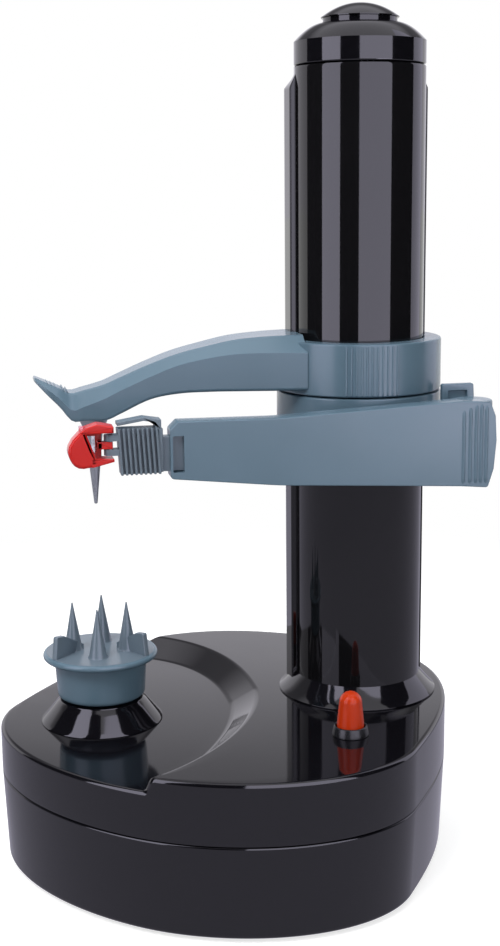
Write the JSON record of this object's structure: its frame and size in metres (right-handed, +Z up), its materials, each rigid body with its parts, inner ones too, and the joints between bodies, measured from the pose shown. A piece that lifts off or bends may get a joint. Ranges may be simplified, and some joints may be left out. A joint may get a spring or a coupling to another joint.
{
  "type": "electric potato peeler",
  "caption": "Electric peeler with a geared turntable cup, a column with a lead screw, a sliding top spike arm and a hinged blade arm.",
  "frame": {"origin": "centre of the bounding box in plan, on the surface the rubber feet stand on", "axes": "+Z up along the column, +X from the food cup to the column, -Y towards the start button at the front"},
  "size_m": [0.171, 0.1658, 0.302],
  "materials": {
    "black_shell": "polished black moulding",
    "black_column": "highly polished black moulding",
    "blue_grey": "satin metallic blue-grey moulding",
    "blue_grey_light": "satin metallic grey moulding",
    "red_guard": "glossy red moulding",
    "orange_button": "glossy orange-red moulding",
    "dark_plastic": "fine grained",
    "rubber_foot": "matt",
    "cell": "plain printed jacket with no print",
    "spring_steel": "bright wire and strip",
    "steel": "ground steel",
    "bright_metal": "satin steel",
    "blade_steel": "polished edge",
    "motor_steel": "drawn can",
    "brass_gear": "cut brass",
    "gear_plastic": "natural engineering plastic",
    "board_green": "solder resist"
  },
  "bodies": {
    "base": {"base_lower": "black_shell", "base_upper": "black_shell", "foot_1": "rubber_foot", "foot_2": "rubber_foot", "foot_3": "rubber_foot", "foot_4": "rubber_foot", "battery_1": "cell", "battery_2": "cell", "battery_3": "cell", "battery_4": "cell", "battery_contacts": "spring_steel", "power_jack": "dark_plastic", "base_screws": "steel", "gear_plate": "gear_plastic", "idler_pin_1": "steel", "idler_pin_2": "steel", "motor_can": "motor_steel", "top_bearing": "gear_plastic", "chuck_cone": "black_shell", "column_front": "black_column", "column_rear": "black_column", "column_skirt": "black_shell", "cap": "black_shell", "cap_spring": "spring_steel", "button_collar": "dark_plastic", "button_spring": "spring_steel", "start_switch": "dark_plastic", "circuit_board": "board_green"},
    "chuck": {"chuck_gear": "gear_plastic", "chuck_shaft": "steel", "food_cup": "blue_grey", "food_spikes": "blue_grey_light"},
    "idler_1": {"idler_gear_1": "gear_plastic"},
    "idler_2": {"idler_gear_2": "gear_plastic"},
    "screw": {"lead_screw": "steel", "screw_gear": "gear_plastic"},
    "motor": {"motor_shaft": "steel", "motor_pinion": "brass_gear"},
    "carriage": {"carriage": "blue_grey", "half_nut": "gear_plastic", "hinge_pin": "steel", "arm_spring": "spring_steel"},
    "release_tab": {"release_tab": "blue_grey"},
    "peeling_arm": {"peeling_arm": "blue_grey"},
    "cartridge": {"cartridge": "blue_grey_light", "guard_pin": "steel"},
    "guard": {"guard": "red_guard", "blade": "blade_steel"},
    "holder": {"holder_arm": "blue_grey", "holder_brake": "rubber_foot", "spike_bush": "dark_plastic"},
    "top_spike": {"top_spike": "bright_metal"},
    "start_button": {"start_button": "orange_button"},
    "cap_button": {"cap_button": "black_shell"},
    "battery_door": {"battery_door": "dark_plastic"}
  },
  "joints": [
    {"name": "chuck_spin", "type": "hinge", "parent": "base", "child": "chuck", "pos_m": [-0.049, 0.0027, 0.0615], "axis": [0, 0, 1], "continuous": true},
    {"name": "idler_1_spin", "type": "hinge", "parent": "base", "child": "idler_1", "pos_m": [-0.0145, 0.0027, 0.0115], "axis": [0, 0, 1], "continuous": true},
    {"name": "idler_2_spin", "type": "hinge", "parent": "base", "child": "idler_2", "pos_m": [0.011, 0.0027, 0.0145], "axis": [0, 0, 1], "continuous": true},
    {"name": "screw_spin", "type": "hinge", "parent": "base", "child": "screw", "pos_m": [0.047, 0.0027, 0.0145], "axis": [0, 0, 1], "continuous": true},
    {"name": "motor_spin", "type": "hinge", "parent": "base", "child": "motor", "pos_m": [-0.0145, -0.0243, 0.0215], "axis": [0, 0, 1], "continuous": true},
    {"name": "carriage_slide", "type": "slide", "parent": "base", "child": "carriage", "axis": [0, 0, 1], "range_m": [-0.067, 0]},
    {"name": "tab_press", "type": "slide", "parent": "carriage", "child": "release_tab", "axis": [0, 1, 0], "range_m": [0, 0.002], "stiffness_N_per_m": 300, "springref_m": -0.002},
    {"name": "arm_swing", "type": "hinge", "parent": "carriage", "child": "peeling_arm", "pos_m": [0.0785, -0.0303, 0.154], "axis": [0, 0, 1], "range_deg": [0, 60], "stiffness_Nm_per_rad": 0.15, "springref_deg": -17.19},
    {"name": "cartridge_pull", "type": "slide", "parent": "peeling_arm", "child": "cartridge", "axis": [-1, 0, 0], "range_m": [0, 0.008]},
    {"name": "guard_swivel", "type": "hinge", "parent": "cartridge", "child": "guard", "pos_m": [-0.047, -0.0347, 0.15785], "axis": [0, 0, 1], "range_deg": [-15, 15]},
    {"name": "holder_slide", "type": "slide", "parent": "base", "child": "holder", "axis": [0, 0, 1], "range_m": [0, 0.085]},
    {"name": "spike_spin", "type": "hinge", "parent": "holder", "child": "top_spike", "pos_m": [-0.049, 0.0027, 0.1615], "axis": [0, 0, 1], "continuous": true},
    {"name": "start_press", "type": "slide", "parent": "base", "child": "start_button", "axis": [0, 0, 1], "range_m": [-0.0025, 0], "stiffness_N_per_m": 250, "springref_m": 0.002, "deforming": ["button_spring"]},
    {"name": "cap_press", "type": "slide", "parent": "base", "child": "cap_button", "axis": [0, 0, 1], "range_m": [-0.0014, 0], "stiffness_N_per_m": 300, "springref_m": 0.002, "deforming": ["cap_spring"]},
    {"name": "battery_door_slide", "type": "slide", "parent": "base", "child": "battery_door", "axis": [-1, 0, 0], "range_m": [0, 0.02]}
  ],
  "couplings": [
    {"joint": "idler_1_spin", "follows": "chuck_spin", "ratio": -3.6},
    {"joint": "idler_2_spin", "follows": "chuck_spin", "ratio": 1.5},
    {"joint": "screw_spin", "follows": "chuck_spin", "ratio": -1.5},
    {"joint": "motor_spin", "follows": "chuck_spin", "ratio": 9.36}
  ]
}
